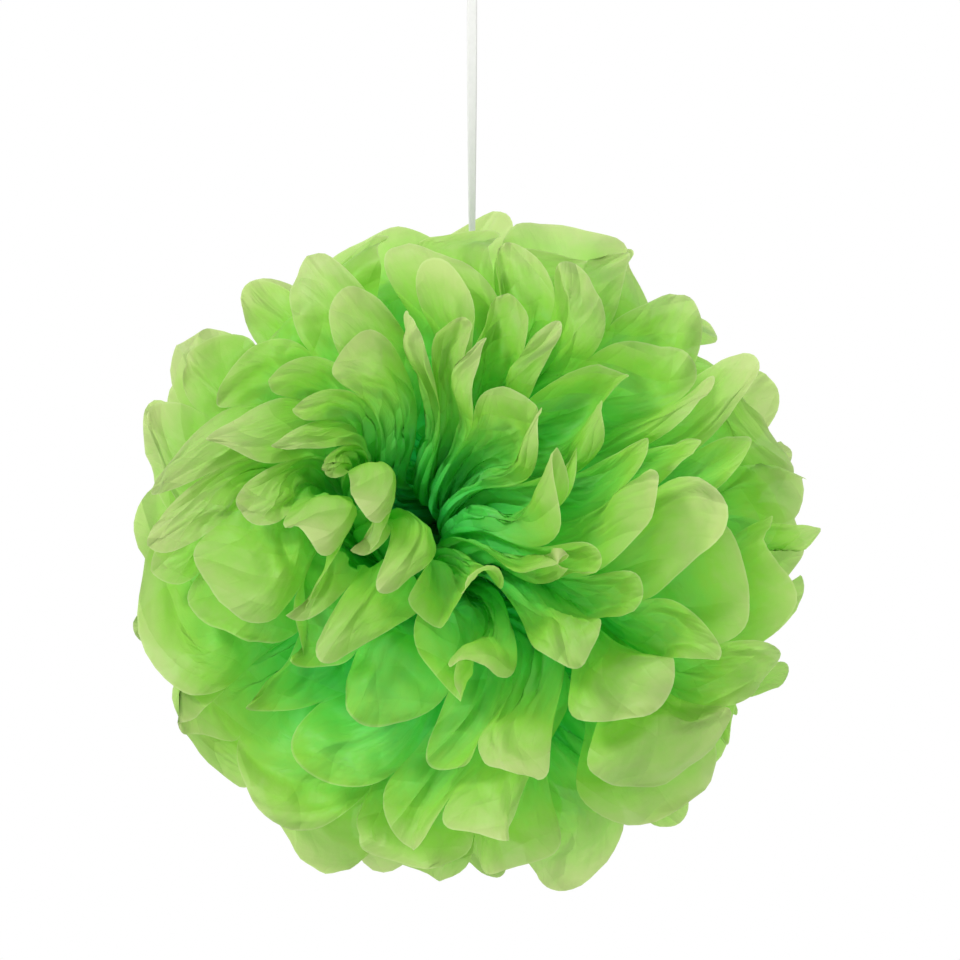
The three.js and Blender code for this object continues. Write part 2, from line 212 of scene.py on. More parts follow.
def fold_leans(sheet):
    """Half the angle of the fan fold near the tie, and what it grows by towards the tips."""
    s = (np.arange(LEAN_STEPS) + 0.5) / LEAN_STEPS
    out = np.sum(np.sin(root_lean(sheet) + flare_of(sheet) * s**FLARE_POWER)) / LEAN_STEPS * PETAL_REACH
    full = math.sqrt(max(0, PLEAT_WIDTH**2 - (out * FOLD_ANGLE) ** 2)) / PETAL_REACH / 2
    near = min(full, FOLD_ROOM * min(root_lean(sheet), math.pi - root_lean(sheet)))
    return near, 2 * (full - near)


print("sheets leave the tie at", [round(math.degrees(root_lean(sheet))) for sheet in range(SHEETS)], "degrees")

# %% [markdown]
# ## Columns of points
#
# A fan is worked out in columns that run from the tie to the cut edge. They lie close together at the folds,
# where the paper turns sharply, and end on the half circle that the scissors left on each pleat.

# %% Columns of one fan
ACROSS = 24  # steps across a pleat
ALONG = 68  # steps from the tie to the cut edge
PATH = 120  # steps of the path that the paper follows

column = np.arange(PLEATS * ACROSS + 1)
PLEAT_OF = np.minimum(column // ACROSS, PLEATS - 1)
pleat_turn = math.pi * (column - PLEAT_OF * ACROSS) / ACROSS
V = -np.cos(pleat_turn)  # -1 at one fold, 1 at the next, with columns close together there
U = PLEAT_OF + (V + 1) / 2
REACH = NOTCH_REACH + PLEAT_WIDTH / 2 * np.sqrt(np.maximum(0, 1 - V**2))  # to the round cut edge


def at_folds(values):
    return np.interp(U, np.arange(PLEATS + 1), values)


def by_petal(draw):
    """One value for each petal, on all columns of the fan."""
    return np.array([draw(petal) for petal in range(PLEATS)])[PLEAT_OF]


ZIGZAG = at_folds([1 if fold % 2 == 0 else -1 for fold in range(PLEATS + 1)])
print("a fan has", len(column), "columns of", ALONG + 1, "points")


# %% The folded path of one fan
def fan_path(sheet, side):
    """Points of one fan, columns by steps: x across, y up, z out of the open face, before it is fluffed."""
    step = PETAL_REACH / PATH
    s = (np.arange(PATH) + 0.5) * step
    near, growth = fold_leans(sheet)
    spread = at_folds([chance_of(sheet, side, fold, LEAN_DRAW) for fold in range(PLEATS + 1)])
    spread = spread * LEAN_SPREAD * math.sin(tip_lean(sheet))
    ends = np.arange(PATH + 1) / PATH
    fold_left = 1 - ARCH_SHARE * smoothstep(ends, *ARCH_GROWS)
    depth = PETAL_REACH * (near * ends + growth * ends**2 / 2) * fold_left
    folded = (root_lean(sheet) + spread)[:, None] + ZIGZAG[:, None] * (np.diff(depth) / step)[None]
    turn = smoothstep(s, 0, NECK_BEND)[None]
    lean = math.pi / 2 + (folded - math.pi / 2) * turn + flare_of(sheet) * (s / PETAL_REACH) ** FLARE_POWER
    curls = by_petal(lambda petal: chance_of(sheet, side, petal, CURL_DRAW)) * (1 - V**2)
    free = np.maximum(0, 1 - (PETAL_REACH - s) / CURL_LENGTH)
    lean = lean + TIP_CURL * curls[:, None] * free[None] ** 2
    turned = [chance_of(sheet, side, fold, TURN_DRAW) if fold % PLEATS else 0 for fold in range(PLEATS + 1)]
    angle = math.pi / 2 - SEAM_ANGLE - U * FOLD_ANGLE + at_folds(turned) * FAN_SPREAD
    rise = np.sin(lean) * step
    steps = [rise * side * np.cos(angle)[:, None], rise * np.sin(angle)[:, None], np.cos(lean) * step]
    start = np.zeros((len(column), 1, 3))
    start[:, 0, 0] = side * HALF_TIE
    start[:, 0, 1] = (0.5 - U / PLEATS) * NECK_SPAN
    start[:, 0, 2] = ((SHEETS - 1) / 2 - sheet) * LAYER_PITCH
    return np.concatenate([start, start + np.cumsum(np.stack(steps, -1), axis=1)], axis=1)


print("the path of one fan:", fan_path(0, 1).shape)

# %% [markdown]
# ## Cups and gathers
#
# A pleat is as wide at the tie as at its petal, but the tie leaves it no room there, so the paper gathers into
# small folds along the pleat. How deep they are follows from the width that is left. Towards its tip a pleat
# arches into a petal, and each petal has a few straight, sharp creases from the folding. All of this moves the
# paper along its own normal.

# %% Creases
FREE_FROM = (0.35, 0.75)  # shares of the reach between which the paper comes free of the tie
FREE_AT = 0.45  # share of half a pleat over which it comes free of a fold
CREASES_EACH = 3  # sharp creases on one petal
CREASE_TURN = math.radians(75)  # most that one turns away from the petal's length
CREASE_MIDDLE = 150.0  # from the tie to where they cross
CREASE_START = 22.0  # and how far off that they may lie
CREASE_SLOPE = 0.4
CREASE_REACH = 9.0


def fan_normals(points, side):
    across = np.gradient(points, axis=0)
    for fold in range(1, PLEATS):  # the slope isn't taken across a fold
        k = fold * ACROSS
        across[k] = points[k] - points[k - 1]
    normal = np.cross(across, np.gradient(points, axis=1))
    length = np.linalg.norm(normal, axis=-1, keepdims=True)
    return side * normal / np.maximum(length, TINY)


def freedom(s):
    """How freely the paper moves: not at the tie, where it is held, nor at a fold, where two pleats meet."""
    return smoothstep(s / PETAL_REACH, *FREE_FROM) * smoothstep(1 - np.abs(V), 0, FREE_AT)[:, None]


def petal_creases(side, place, s):
    """Straight, sharp creases on each petal: the paper bends at each, and is flat again further off."""
    across = (place[:, None] - 0.5) * PLEAT_WIDTH
    along = s[None] - CREASE_MIDDLE
    move = np.zeros((len(place), len(s)))
    for crease in range(CREASES_EACH):
        first = CREASE_DRAWS + 3 * crease
        turn, start, slope = [
            by_petal(lambda petal: chance(side, petal, kind))[:, None] for kind in range(first, first + 3)
        ]
        angle = CREASE_TURN * turn
        off = np.abs(across * np.cos(angle) - along * np.sin(angle) - CREASE_START * start)
        move += CREASE_SLOPE * slope * CREASE_REACH * (0.5 - np.exp(-off / CREASE_REACH))
    return move * freedom(s[None])


print("creases:", CREASES_EACH * PLEATS, "on each fan")

# %% Cups and gathers
GATHER_FADE = (0.5, 0.85)  # share of the reach over which the gathers run out
GATHERS = 3  # small folds across one pleat
GATHER_HEIGHT = 1.5  # of a small fold, for the paper that it has to take up
GATHER_BEND = 0.1  # how unevenly they lie
SLACK_MOST = 9  # most times that the paper is wider than its place
LEAST_WIDTH = 1e-6
ARCH_BEND = math.sqrt(3) / 4  # depth of an arch over the width that it takes up
LIFT_MIDDLE, LIFT_SPREAD = 0.85, 0.3  # share of the arch that a petal has


def shaped_fan(sheet, side):
    points = fan_path(sheet, side)
    normal = fan_normals(points, side)
    s = np.arange(PATH + 1) / PATH * PETAL_REACH
    cups = by_petal(lambda petal: chance_of(sheet, side, petal, CUP_DRAW)) * (1 - V**2)
    move = PETAL_BULGE * cups[:, None] * (s / PETAL_REACH)[None] ** 2
    folds = points[::ACROSS]
    chord = np.linalg.norm(folds[1:] - folds[:-1], axis=-1)[PLEAT_OF]
    spare = np.sqrt(np.maximum(0, PLEAT_WIDTH**2 - chord**2))
    lift = by_petal(lambda petal: LIFT_MIDDLE + LIFT_SPREAD * chance(side, petal, LIFT_DRAW))
    lift = lift * np.where(PLEAT_OF % 2 == 0, 1, -1)
    arch = np.minimum(ARCH_MOST, ARCH_BEND * spare) * smoothstep(s / PETAL_REACH, *ARCH_GROWS)[None]
    arch = arch * lift[:, None]
    move = move + arch * (1 - V**2)[:, None]
    chord = np.sqrt(chord**2 + (arch / ARCH_BEND) ** 2)
    slack = np.clip(PLEAT_WIDTH / np.maximum(chord, LEAST_WIDTH), 1, SLACK_MOST)
    depth = chord * GATHER_HEIGHT * np.sqrt(slack**2 - 1) / (2 * math.pi * GATHERS)
    depth = depth * (1 - smoothstep(s / PETAL_REACH, *GATHER_FADE))[None]
    bend = by_petal(lambda petal: GATHER_BEND * chance(side, petal, BEND_DRAW))
    place = (V + 1) / 2
    wave = np.sin(2 * math.pi * GATHERS * (place + bend * np.sin(math.pi * place) ** 2))
    return points + normal * (move + depth * wave[:, None] + petal_creases(side, place, s))[..., None]


print("first petal's tip:", shaped_fan(0, 1)[ACROSS // 2, -1].round(1).tolist(), "mm from the tie")

# %% [markdown]
# ## Fluffing the ball
#
# The ball is then tilted, its front is twisted against its back and pushed up, and slow waves slide the paper
# along each axis. A slide along one axis that depends only on the other two can't push one sheet through
# another, so the layers stay in order whatever their size.

# %% Fluff
def fluff(points):
    x, up, out = np.moveaxis(points, -1, 0)
    turn = math.pi / 2 - FACE_TILT
    place = [x, up * math.cos(turn) - out * math.sin(turn), up * math.sin(turn) + out * math.cos(turn)]
    twist = FACE_TWIST * smoothstep(np.abs(place[1]), TWIST_FREE, TWIST_FULL) * np.sign(place[1])
    place[0], place[2] = (
        place[0] * np.cos(twist) + place[2] * np.sin(twist),
        place[2] * np.cos(twist) - place[0] * np.sin(twist),
    )
    ahead = np.maximum(0, -place[1])
    place[2] = place[2] + math.tan(FACE_RISE) * ahead**2 / (ahead + RISE_START)
    for axis, (first, second), lengths, turns, reach in SWAYS:
        share = smoothstep(np.hypot(place[first], place[second]), SWAY_FREE, SWAY_FULL)
        wave = np.sin(2 * math.pi * (place[first] / lengths[0] + turns[0]))
        wave = wave * np.sin(2 * math.pi * (place[second] / lengths[1] + turns[1]))
        place[axis] = place[axis] + reach * share * wave
    place[2] = place[2] * SETTLE - HANG_DROP
    return np.stack(place, -1)


print("fluffed, that tip is at", fluff(shaped_fan(0, 1)[ACROSS // 2, -1]).round(1).tolist(), "from the hook")

# %% [markdown]
# ## One sheet as a mesh
#
# Both fans become grids of points, with rows from the tie to the round cut edge, and a strip joins them
# through the tie. The flat paper's own measures are kept as a UV map, so that fold lines and fibres lie in the
# paper. Three attributes tell how near a point is to the cut edge, how freely the paper moves there, and how
# much light is painted into the paper's colour there: painted shade deep between the other petals, painted
# light at the tips and cut edges.

# %% Rows and faces
NEARLY = 1e-6  # keeps the last point of a path inside it


def rows_of(points):
    """The fan's points on rows that end at the cut edge, and their distance from the tie."""
    share = np.linspace(0, 1, ALONG + 1)
    s = share[None] * REACH[:, None]
    at = np.clip(s / PETAL_REACH * PATH, 0, PATH - NEARLY)
    low = at.astype(int)
    part = (at - low)[..., None]
    column_of = np.arange(len(REACH))[:, None]
    return points[column_of, low] * (1 - part) + points[column_of, low + 1] * part, s


def grid_faces(start, columns, rows, flip):
    first = start + (np.arange(columns - 1)[:, None] * rows + np.arange(rows - 1)[None]).ravel()
    faces = np.stack([first, first + rows, first + rows + 1, first + 1], -1)
    return faces[:, ::-1] if flip else faces


def flat_mesh(name, points, faces, flat):
    """A smooth mesh in metres, with the measures of the flat paper or ribbon as its UV map."""
    mesh = bpy.data.meshes.new(name)
    mesh.from_pydata((points * MM).tolist(), [], faces.tolist())
    uv = mesh.uv_layers.new(name="flat_paper")
    uv.data.foreach_set("uv", (flat * MM)[faces.ravel()].astype(np.float32).ravel())
    mesh.shade_smooth()
    return mesh


print("a fan has", len(grid_faces(0, len(U), ALONG + 1, False)), "faces")

# %% Sheet mesh
# Painted light and shade: the paper's colour is paler where light would reach it and a fuller green where other
# petals would shade it.
PAINTED_SHADE_REACH = (85.0, 219.0)  # from the ball's middle, where its depths end and where its outside is: painted shade inside, painted light outside
PAINTED_LIGHT_PETAL = 0.1  # painted light and shade that differs from petal to petal
PAINTED_LIGHT_EDGE = 0.1  # painted light that a cut edge has more
PAINTED_EDGE_REACH = 14.0


def painted_light(sheet, side, places, edge):
    """Light and shade painted into the paper's colour: painted shade in the ball's depths, painted light at the
    tips of petals and at cut edges, and more on one petal than on the next.
    """
    far = np.linalg.norm(places - [0, 0, -HANG_DROP], axis=-1)
    petals = by_petal(lambda petal: chance_of(sheet, side, petal, PAINTED_LIGHT_DRAW))[:, None]
    out = (far - PAINTED_SHADE_REACH[0]) / (PAINTED_SHADE_REACH[1] - PAINTED_SHADE_REACH[0])
    return out + PAINTED_LIGHT_PETAL * petals + PAINTED_LIGHT_EDGE * np.exp(-edge / PAINTED_EDGE_REACH)


def sheet_mesh(sheet):
    columns, rows = len(U), ALONG + 1
    places, flats, faces = [], [], []
    tells = {"from_edge": [], "freedom": [], "painted_light": []}
    for fan, side in enumerate((-1, 1)):
        points, s = rows_of(shaped_fan(sheet, side))
        fluffed = fluff(points)
        edge = REACH[:, None] - s
        places.append(fluffed.reshape(-1, 3))
        flat = np.stack([np.broadcast_to(U[:, None] * PLEAT_WIDTH, s.shape), side * (HALF_TIE + s)], -1)
        flats.append(flat.reshape(-1, 2))
        tells["from_edge"].append(edge.ravel() * MM)
        tells["freedom"].append(freedom(s).ravel())
        tells["painted_light"].append(painted_light(sheet, side, fluffed, edge).ravel())
        faces.append(grid_faces(fan * columns * rows, columns, rows, side < 0))
    left, right = np.arange(columns) * rows, (columns + np.arange(columns)) * rows
    faces.append(np.stack([left[1:], right[1:], right[:-1], left[:-1]], -1))
    name = f"tissue_{sheet + 1}"
    mesh = flat_mesh(name, np.concatenate(places), np.concatenate(faces), np.concatenate(flats))
    for tell, values in tells.items():
        layer = mesh.attributes.new(tell, "FLOAT", "POINT")
        layer.data.foreach_set("value", np.concatenate(values).astype(np.float32))
    return mesh


print("a sheet has", 2 * len(U) * (ALONG + 1), "points")

# %% [markdown]
# ## Small tools for node trees
#
# Every tree below is written in the same way: a node, the values or links of its inputs, and its settings.

# %% Node helpers
def add_node(tree, kind, inputs=None, **settings):
    node = tree.nodes.new(kind)
    for key, value in settings.items():
        setattr(node, key, value)
    for key, value in (inputs or {}).items():
        if isinstance(value, bpy.types.NodeSocket):
            tree.links.new(value, node.inputs[key])
        else:
            node.inputs[key].default_value = value
    return node


def math_node(tree, operation, *values, **settings):
    return add_node(tree, "ShaderNodeMath", dict(enumerate(values)), operation=operation, **settings).outputs[0]


def mix_colours(tree, share, first, second):
    return add_node(tree, "ShaderNodeMix", {0: share, 6: first, 7: second}, data_type="RGBA").outputs[2]


def mix_shaders(tree, share, first, second):
    return add_node(tree, "ShaderNodeMixShader", {0: share, 1: first, 2: second}).outputs[0]


def add_sockets(tree, ins, outs):
    for direction, sockets in (("INPUT", ins), ("OUTPUT", outs)):
        for name, kind in sockets:
            tree.interface.new_socket(name, in_out=direction, socket_type=f"NodeSocket{kind}")
    return tree.nodes.new("NodeGroupInput").outputs


# %% [markdown]
# ## Crumpled paper
#
# Tissue that has been folded, tied and pulled apart by hand is never smooth. A Geometry Nodes tree moves each
# point along its normal: by broad ridges, by flat facets that meet in sharp creases, and by a ripple along the
# cut edge. Each depends on the place, not on the sheet, so sheets that lie together crumple together.

# %% Crumple tree
RIDGE_MEAN = 0.09  # taken off, so that the paper keeps its place on the whole
FACET_MEAN = 0.2
DRIFT_SCALE, DRIFT_REACH = 25.0, 0.03  # facets are pushed about, so that no two have the same shape


def crumple_tree():
    tree = bpy.data.node_groups.new("crumple", "GeometryNodeTree")
    lengths = ("Ridge Depth", "Ridge Size", "Facet Depth", "Facet Size", "Rim Depth", "Rim Size", "Rim Reach")
    ins = [("Geometry", "Geometry"), ("Paper", "Material")] + [(name, "Float") for name in lengths]
    given = add_sockets(tree, ins, [("Geometry", "Geometry")])
    place = tree.nodes.new("GeometryNodeInputPosition").outputs["Position"]
    normal = tree.nodes.new("GeometryNodeInputNormal").outputs["Normal"]

    def told(name):
        node = add_node(tree, "GeometryNodeInputNamedAttribute", {"Name": name}, data_type="FLOAT")
        return node.outputs["Attribute"]

    def scaled(vector, share):
        return add_node(tree, "ShaderNodeVectorMath", {0: vector, "Scale": share}, operation="SCALE").outputs[0]

    def ripple(size):
        noise = {"Vector": place, "Scale": math_node(tree, "DIVIDE", 1.0, given[size]), "Detail": 1.0}
        return math_node(tree, "SUBTRACT", add_node(tree, "ShaderNodeTexNoise", noise).outputs[0], 0.5)

    ridge = math_node(tree, "SUBTRACT", math_node(tree, "ABSOLUTE", ripple("Ridge Size")), RIDGE_MEAN)
    ridge = math_node(tree, "MULTIPLY", ridge, given["Ridge Depth"])
    drift = add_node(tree, "ShaderNodeTexNoise", {"Vector": place, "Scale": DRIFT_SCALE}).outputs["Color"]
    drift = {0: place, 1: scaled(drift, DRIFT_REACH)}
    drift = add_node(tree, "ShaderNodeVectorMath", drift, operation="ADD").outputs[0]
    cells = {"Vector": drift, "Scale": math_node(tree, "DIVIDE", 1.0, given["Facet Size"])}
    cells = add_node(tree, "ShaderNodeTexVoronoi", cells, feature="DISTANCE_TO_EDGE").outputs["Distance"]
    facet = math_node(tree, "MULTIPLY", math_node(tree, "SUBTRACT", cells, FACET_MEAN), given["Facet Depth"])
    near = {"Value": told("from_edge"), "From Min": given["Rim Reach"], "From Max": 0.0}
    near = add_node(tree, "ShaderNodeMapRange", near).outputs[0]
    rim = math_node(tree, "MULTIPLY", ripple("Rim Size"), near)
    rim = math_node(tree, "MULTIPLY", rim, given["Rim Depth"])
    move = math_node(tree, "ADD", math_node(tree, "ADD", ridge, facet), rim)
    move = math_node(tree, "MULTIPLY", move, told("freedom"))
    moved = {"Geometry": given["Geometry"], "Offset": scaled(normal, move)}
    moved = add_node(tree, "GeometryNodeSetPosition", moved).outputs[0]
    real = add_node(tree, "GeometryNodeRealizeInstances", {"Geometry": moved}).outputs[0]
    done = {"Geometry": real, "Material": given["Paper"]}
    done = add_node(tree, "GeometryNodeSetMaterial", done).outputs[0]
    add_node(tree, "NodeGroupOutput", {"Geometry": done})
    return tree


CRUMPLE = crumple_tree()
print("crumple tree:", len(CRUMPLE.nodes), "nodes")

# %% [markdown]
# ## What tissue looks like
#
# Seen close, tissue is a cloudy felt of short fibres. It keeps straight fold lines in a few directions, here
# and there, and long fine wrinkles towards the tie. These are node groups that work in the flat paper's own
# metres. Noise will do for the clouds and fibres, but folds in paper are straight, so they are bands of a wave.

# %% Cloudy fibres
FIBRE_STRETCH = 0.35  # along the pleat


def fibre_group():
    tree = bpy.data.node_groups.new("fibre_clouds", "ShaderNodeTree")
    ins = [("Vector", "Vector"), ("Cloud Scale", "Float"), ("Fibre Scale", "Float")]
    given = add_sockets(tree, ins, [("Cloud", "Float"), ("Fibre", "Float")])
    cloud = {"Vector": given["Vector"], "Scale": given["Cloud Scale"], "Detail": 2.0, "Roughness": 0.6}
    cloud = add_node(tree, "ShaderNodeTexNoise", cloud).outputs[0]
    long = {"Vector": given["Vector"], "Scale": (1.0, FIBRE_STRETCH, 1.0)}
    long = add_node(tree, "ShaderNodeMapping", long).outputs[0]
    fibre = {"Vector": long, "Scale": given["Fibre Scale"], "Detail": 3.0, "Distortion": 0.6}
    fibre = add_node(tree, "ShaderNodeTexNoise", fibre).outputs[0]
    add_node(tree, "NodeGroupOutput", {"Cloud": cloud, "Fibre": fibre})
    return tree


FIBRES = fibre_group()
print("node group:", FIBRES.name)

# %% Fold lines
FOLD_SETS = [
    # turn from the pleat's length, closeness, and the channel of the patchy noise that shows the set
    (math.radians(8), 1.0, "Red"),
    (math.radians(-37), 1.5, "Green"),
    (math.radians(64), 2.1, "Blue"),
]
PATCH_FADE = (0.4, 0.6)  # values of the noise between which a set of lines comes out
FOLD_BENT = {"Distortion": 1.5, "Detail": 0.0, "Detail Scale": 0.3}  # a fold line is not quite straight
WRINKLE_SCALE = 90.0
WRINKLE_STRETCH = 0.3  # along the pleat


def fold_group():
    tree = bpy.data.node_groups.new("fold_lines", "ShaderNodeTree")
    ins = [("Vector", "Vector"), ("Scale", "Float"), ("Patch Scale", "Float")]
    given = add_sockets(tree, ins, [("Fold", "Float"), ("Wrinkle", "Float")])
    flat = given["Vector"]
    patches = {"Vector": flat, "Scale": given["Patch Scale"], "Detail": 1.0}
    patches = add_node(tree, "ShaderNodeTexNoise", patches).outputs["Color"]
    patches = add_node(tree, "ShaderNodeSeparateColor", {"Color": patches}).outputs
    height = 0.0
    for turn, closeness, channel in FOLD_SETS:
        turned = {"Vector": flat, "Rotation": (0, 0, turn), "Scale": (closeness, closeness, 1)}
        turned = add_node(tree, "ShaderNodeMapping", turned).outputs[0]
        wave = {"Vector": turned, "Scale": given["Scale"]} | FOLD_BENT
        wave = add_node(tree, "ShaderNodeTexWave", wave, wave_profile="TRI").outputs["Fac"]
        patch = {"From Min": PATCH_FADE[0], "From Max": PATCH_FADE[1], "To Max": 1.0 / closeness}
        patch = patch | {"Value": patches[channel]}
        patch = add_node(tree, "ShaderNodeMapRange", patch, interpolation_type="SMOOTHSTEP").outputs[0]
        height = math_node(tree, "MULTIPLY_ADD", wave, patch, height)
    long = {"Vector": flat, "Scale": (1.0, WRINKLE_STRETCH, 1.0)}
    long = add_node(tree, "ShaderNodeMapping", long).outputs[0]
    wrinkle = {"Vector": long, "Scale": WRINKLE_SCALE, "Detail": 2.0}
    wrinkle = add_node(tree, "ShaderNodeTexNoise", wrinkle).outputs[0]
    wrinkle = math_node(tree, "ABSOLUTE", math_node(tree, "SUBTRACT", wrinkle, 0.5))
    add_node(tree, "NodeGroupOutput", {"Fold": height, "Wrinkle": wrinkle})
    return tree


FOLDS = fold_group()
print("node group:", FOLDS.name, "with", len(FOLD_SETS), "sets of lines")

# %% [markdown]
# ## The tissue material
#
# Light that falls on tissue is partly sent back and partly let through, and a little passes straight through
# between the fibres. Between sheets the light takes on more colour at every bounce, so the depths of the ball
# are a fuller green than the tips of the petals. The tones below add to that as painted shade and painted
# light, and the cut edge has a pale painted highlight.

# %% Tissue
TISSUE_PAINTED_SHADE_TONES = [
    # share of painted light, from the painted shade of the ball's depths to its petals' lit tips, and the
    # colour there
    (0.0, (0.03, 0.90, 0.22, 1)),
    (0.35, (0.15, 0.84, 0.14, 1)),
    (0.7, (0.37, 0.745, 0.09, 1)),
    (1.0, (0.61, 0.69, 0.28, 1)),
]
TISSUE_THROUGH = (0.40, 0.86, 0.11, 1)  # light that came through the paper leans to this green
THROUGH_TINT = 0.4  # by this share
RIM_PAINTED_HIGHLIGHT = (0.74, 0.82, 0.42, 1)  # painted highlight: the cut edge is painted paler, as if it caught the light
RIM_HIGHLIGHT_WIDTH = 0.0014
RIM_HIGHLIGHT_SHARE = 0.5
LET_THROUGH = 0.44
SEE_THROUGH = 0.05
SEEN_THROUGH = (0.85, 1.0, 0.6, 1)
TISSUE_FIBRES = {"Cloud Scale": 120.0, "Fibre Scale": 1400.0}
TISSUE_FOLDS = {"Scale": 5.0, "Patch Scale": 18.0}
FIBRE_DEPTH = 0.0001
FOLD_DEPTH = 0.0125
WRINKLE_DEPTH = 0.0028
CLOUD_SHARE = 0.22  # how much the clouds change the tone
TISSUE_ROUGH = {"To Min": 0.4, "To Max": 0.6}
TISSUE_GLOSS = 0.45
TISSUE_BUMP = {"Strength": 0.8, "Distance": 1.0}


def new_material(name):
    material = bpy.data.materials.new(name)
    material.use_nodes = True
    material.node_tree.nodes.clear()
    return material


def place_group(tree, group, flat, values):
    return add_node(tree, "ShaderNodeGroup", {"Vector": flat} | values, node_tree=group).outputs


def tissue_material():
    material = new_material("green_tissue")
    material.use_transparent_shadow = False
    tree = material.node_tree
    flat = add_node(tree, "ShaderNodeUVMap", uv_map="flat_paper").outputs["UV"]
    # painted light and shade: the tones run from painted shade in the depths to painted light at the tips
    out = add_node(tree, "ShaderNodeAttribute", attribute_name="painted_light").outputs["Fac"]
    edge = add_node(tree, "ShaderNodeAttribute", attribute_name="from_edge").outputs["Fac"]
    fibres = place_group(tree, FIBRES, flat, TISSUE_FIBRES)
    folds = place_group(tree, FOLDS, flat, TISSUE_FOLDS)
    height = math_node(tree, "MULTIPLY_ADD", fibres["Fibre"], FIBRE_DEPTH, 0.0)
    height = math_node(tree, "MULTIPLY_ADD", folds["Fold"], FOLD_DEPTH, height)
    height = math_node(tree, "MULTIPLY_ADD", folds["Wrinkle"], WRINKLE_DEPTH, height)
    bump = add_node(tree, "ShaderNodeBump", {"Height": height} | TISSUE_BUMP).outputs[0]
    cloud = math_node(tree, "SUBTRACT", fibres["Cloud"], 0.5)
    out = math_node(tree, "MULTIPLY_ADD", cloud, CLOUD_SHARE, out, use_clamp=True)
    ramp = add_node(tree, "ShaderNodeValToRGB", {"Fac": out})
    stops = ramp.color_ramp.elements
    while len(stops) < len(TISSUE_PAINTED_SHADE_TONES):
        stops.new(0.5)
    for stop, (share, colour) in zip(stops, TISSUE_PAINTED_SHADE_TONES):
        stop.position, stop.color = share, colour
    # painted highlight along the cut edge
    rim = {"Value": edge, "From Min": 0.0, "From Max": RIM_HIGHLIGHT_WIDTH, "To Min": RIM_HIGHLIGHT_SHARE, "To Max": 0.0}
    rim = add_node(tree, "ShaderNodeMapRange", rim).outputs[0]
    tone = mix_colours(tree, rim, ramp.outputs["Color"], RIM_PAINTED_HIGHLIGHT)
    rough = add_node(tree, "ShaderNodeMapRange", {"Value": fibres["Cloud"]} | TISSUE_ROUGH).outputs[0]
    paper = {"Base Color": tone, "Roughness": rough, "Specular IOR Level": TISSUE_GLOSS, "Normal": bump}
    paper = add_node(tree, "ShaderNodeBsdfPrincipled", paper).outputs[0]
    lit = mix_colours(tree, THROUGH_TINT, tone, TISSUE_THROUGH)
    through = add_node(tree, "ShaderNodeBsdfTranslucent", {"Color": lit, "Normal": bump}).outputs[0]
    clear = add_node(tree, "ShaderNodeBsdfTransparent", {"Color": SEEN_THROUGH}).outputs[0]
    thin = mix_shaders(tree, SEE_THROUGH, mix_shaders(tree, LET_THROUGH, paper, through), clear)
    add_node(tree, "ShaderNodeOutputMaterial", {"Surface": thin})
    return material


TISSUE = tissue_material()
print("material:", TISSUE.name, "lets", LET_THROUGH, "of the light through")

# %% [markdown]
# ## Ten sheets
#
# Each sheet stands for its solid and rides on the one body there is. Its surface is measured against the flat
# paper it was cut from.

# %% Sheets
CRUMPLES = {
    "Ridge Depth": 0.014,
    "Ridge Size": 0.06,
    "Facet Depth": 0.008,
    "Facet Size": 0.035,
    "Rim Depth": 0.006,
    "Rim Size": 0.02,
    "Rim Reach": 0.02,
}


def add_piece(name, mesh):
    piece = bpy.data.objects.new(name, mesh)
    SCENE.collection.objects.link(piece)
    return piece


def set_inputs(modifier, values):
    for item in modifier.node_group.interface.items_tree:
        if item.item_type == "SOCKET" and item.in_out == "INPUT" and item.name in values:
            modifier[item.identifier] = values[item.name]


def bake(piece):
    """The piece as its modifiers leave it, as a plain mesh."""
    graph = bpy.context.evaluated_depsgraph_get()
    shaped = piece.evaluated_get(graph)
    made = bpy.data.meshes.new_from_object(shaped, preserve_all_data_layers=True, depsgraph=graph)
    piece.modifiers.clear()
    piece.data = made


def add_sheet(sheet):
    piece = add_piece(f"tissue_{sheet + 1}", sheet_mesh(sheet))
    modifier = piece.modifiers.new("crumple", "NODES")
    modifier.node_group = CRUMPLE
    set_inputs(modifier, CRUMPLES | {"Paper": TISSUE})
    bake(piece)
    return piece


def area_of(mesh):
    return sum(face.area for face in mesh.polygons)


sheets = [add_sheet(sheet) for sheet in range(SHEETS)]
for number, piece in enumerate(sheets, 1):
    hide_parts(f"tissue_sheet_{number}")
    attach(piece, "root")
    kept = area_of(piece.data) / (FLAT_AREA * MM * MM)
    print(piece.name, len(piece.data.polygons), "faces,", round(kept, 2), "of its flat area")

# %% [markdown]
# ## Ribbon
#
# The ball hangs on a narrow white ribbon. A ribbon is a strip: a path, the direction across it, its width and
# its thickness. A curve with a flat bevel would do for the straight part, but it twists by itself on a tight
# knot. The same few lines here make the long ribbon, its loop, the turns of the tie and the knots.

# %% Ribbon sizes
RIBBON_WIDTH = 6.0
RIBBON_THICKNESS = 0.5
RIBBON_ACROSS = 6  # faces across the strip
LOOP_HEIGHT = 34.0
LOOP_WIDTH = 15.0
KNOT_HEIGHT = 7.0
KNOT_DEPTH = 6.0
TIE_WALL = 2.0
TIE_KNOT_HEIGHT = 5.0
FIT_GAP = 0.3
RIBBON_TURN = math.radians(120)
RIBBON_TOP = -LOOP_HEIGHT - KNOT_HEIGHT - FIT_GAP
RIBBON_FOOT = NECK_SPAN / 2 + TIE_WALL + TIE_KNOT_HEIGHT + 2 * FIT_GAP - HANG_DROP
print("ribbon from", round(RIBBON_TOP, 1), "down to", round(RIBBON_FOOT, 1), "mm")

# %% Strips
EDGE_THIN, EDGE_POWER = 0.5, 6  # a ribbon's edge has half its thickness, and only the very edge


def unit(vectors):
    return vectors / np.maximum(np.linalg.norm(vectors, axis=-1, keepdims=True), TINY)


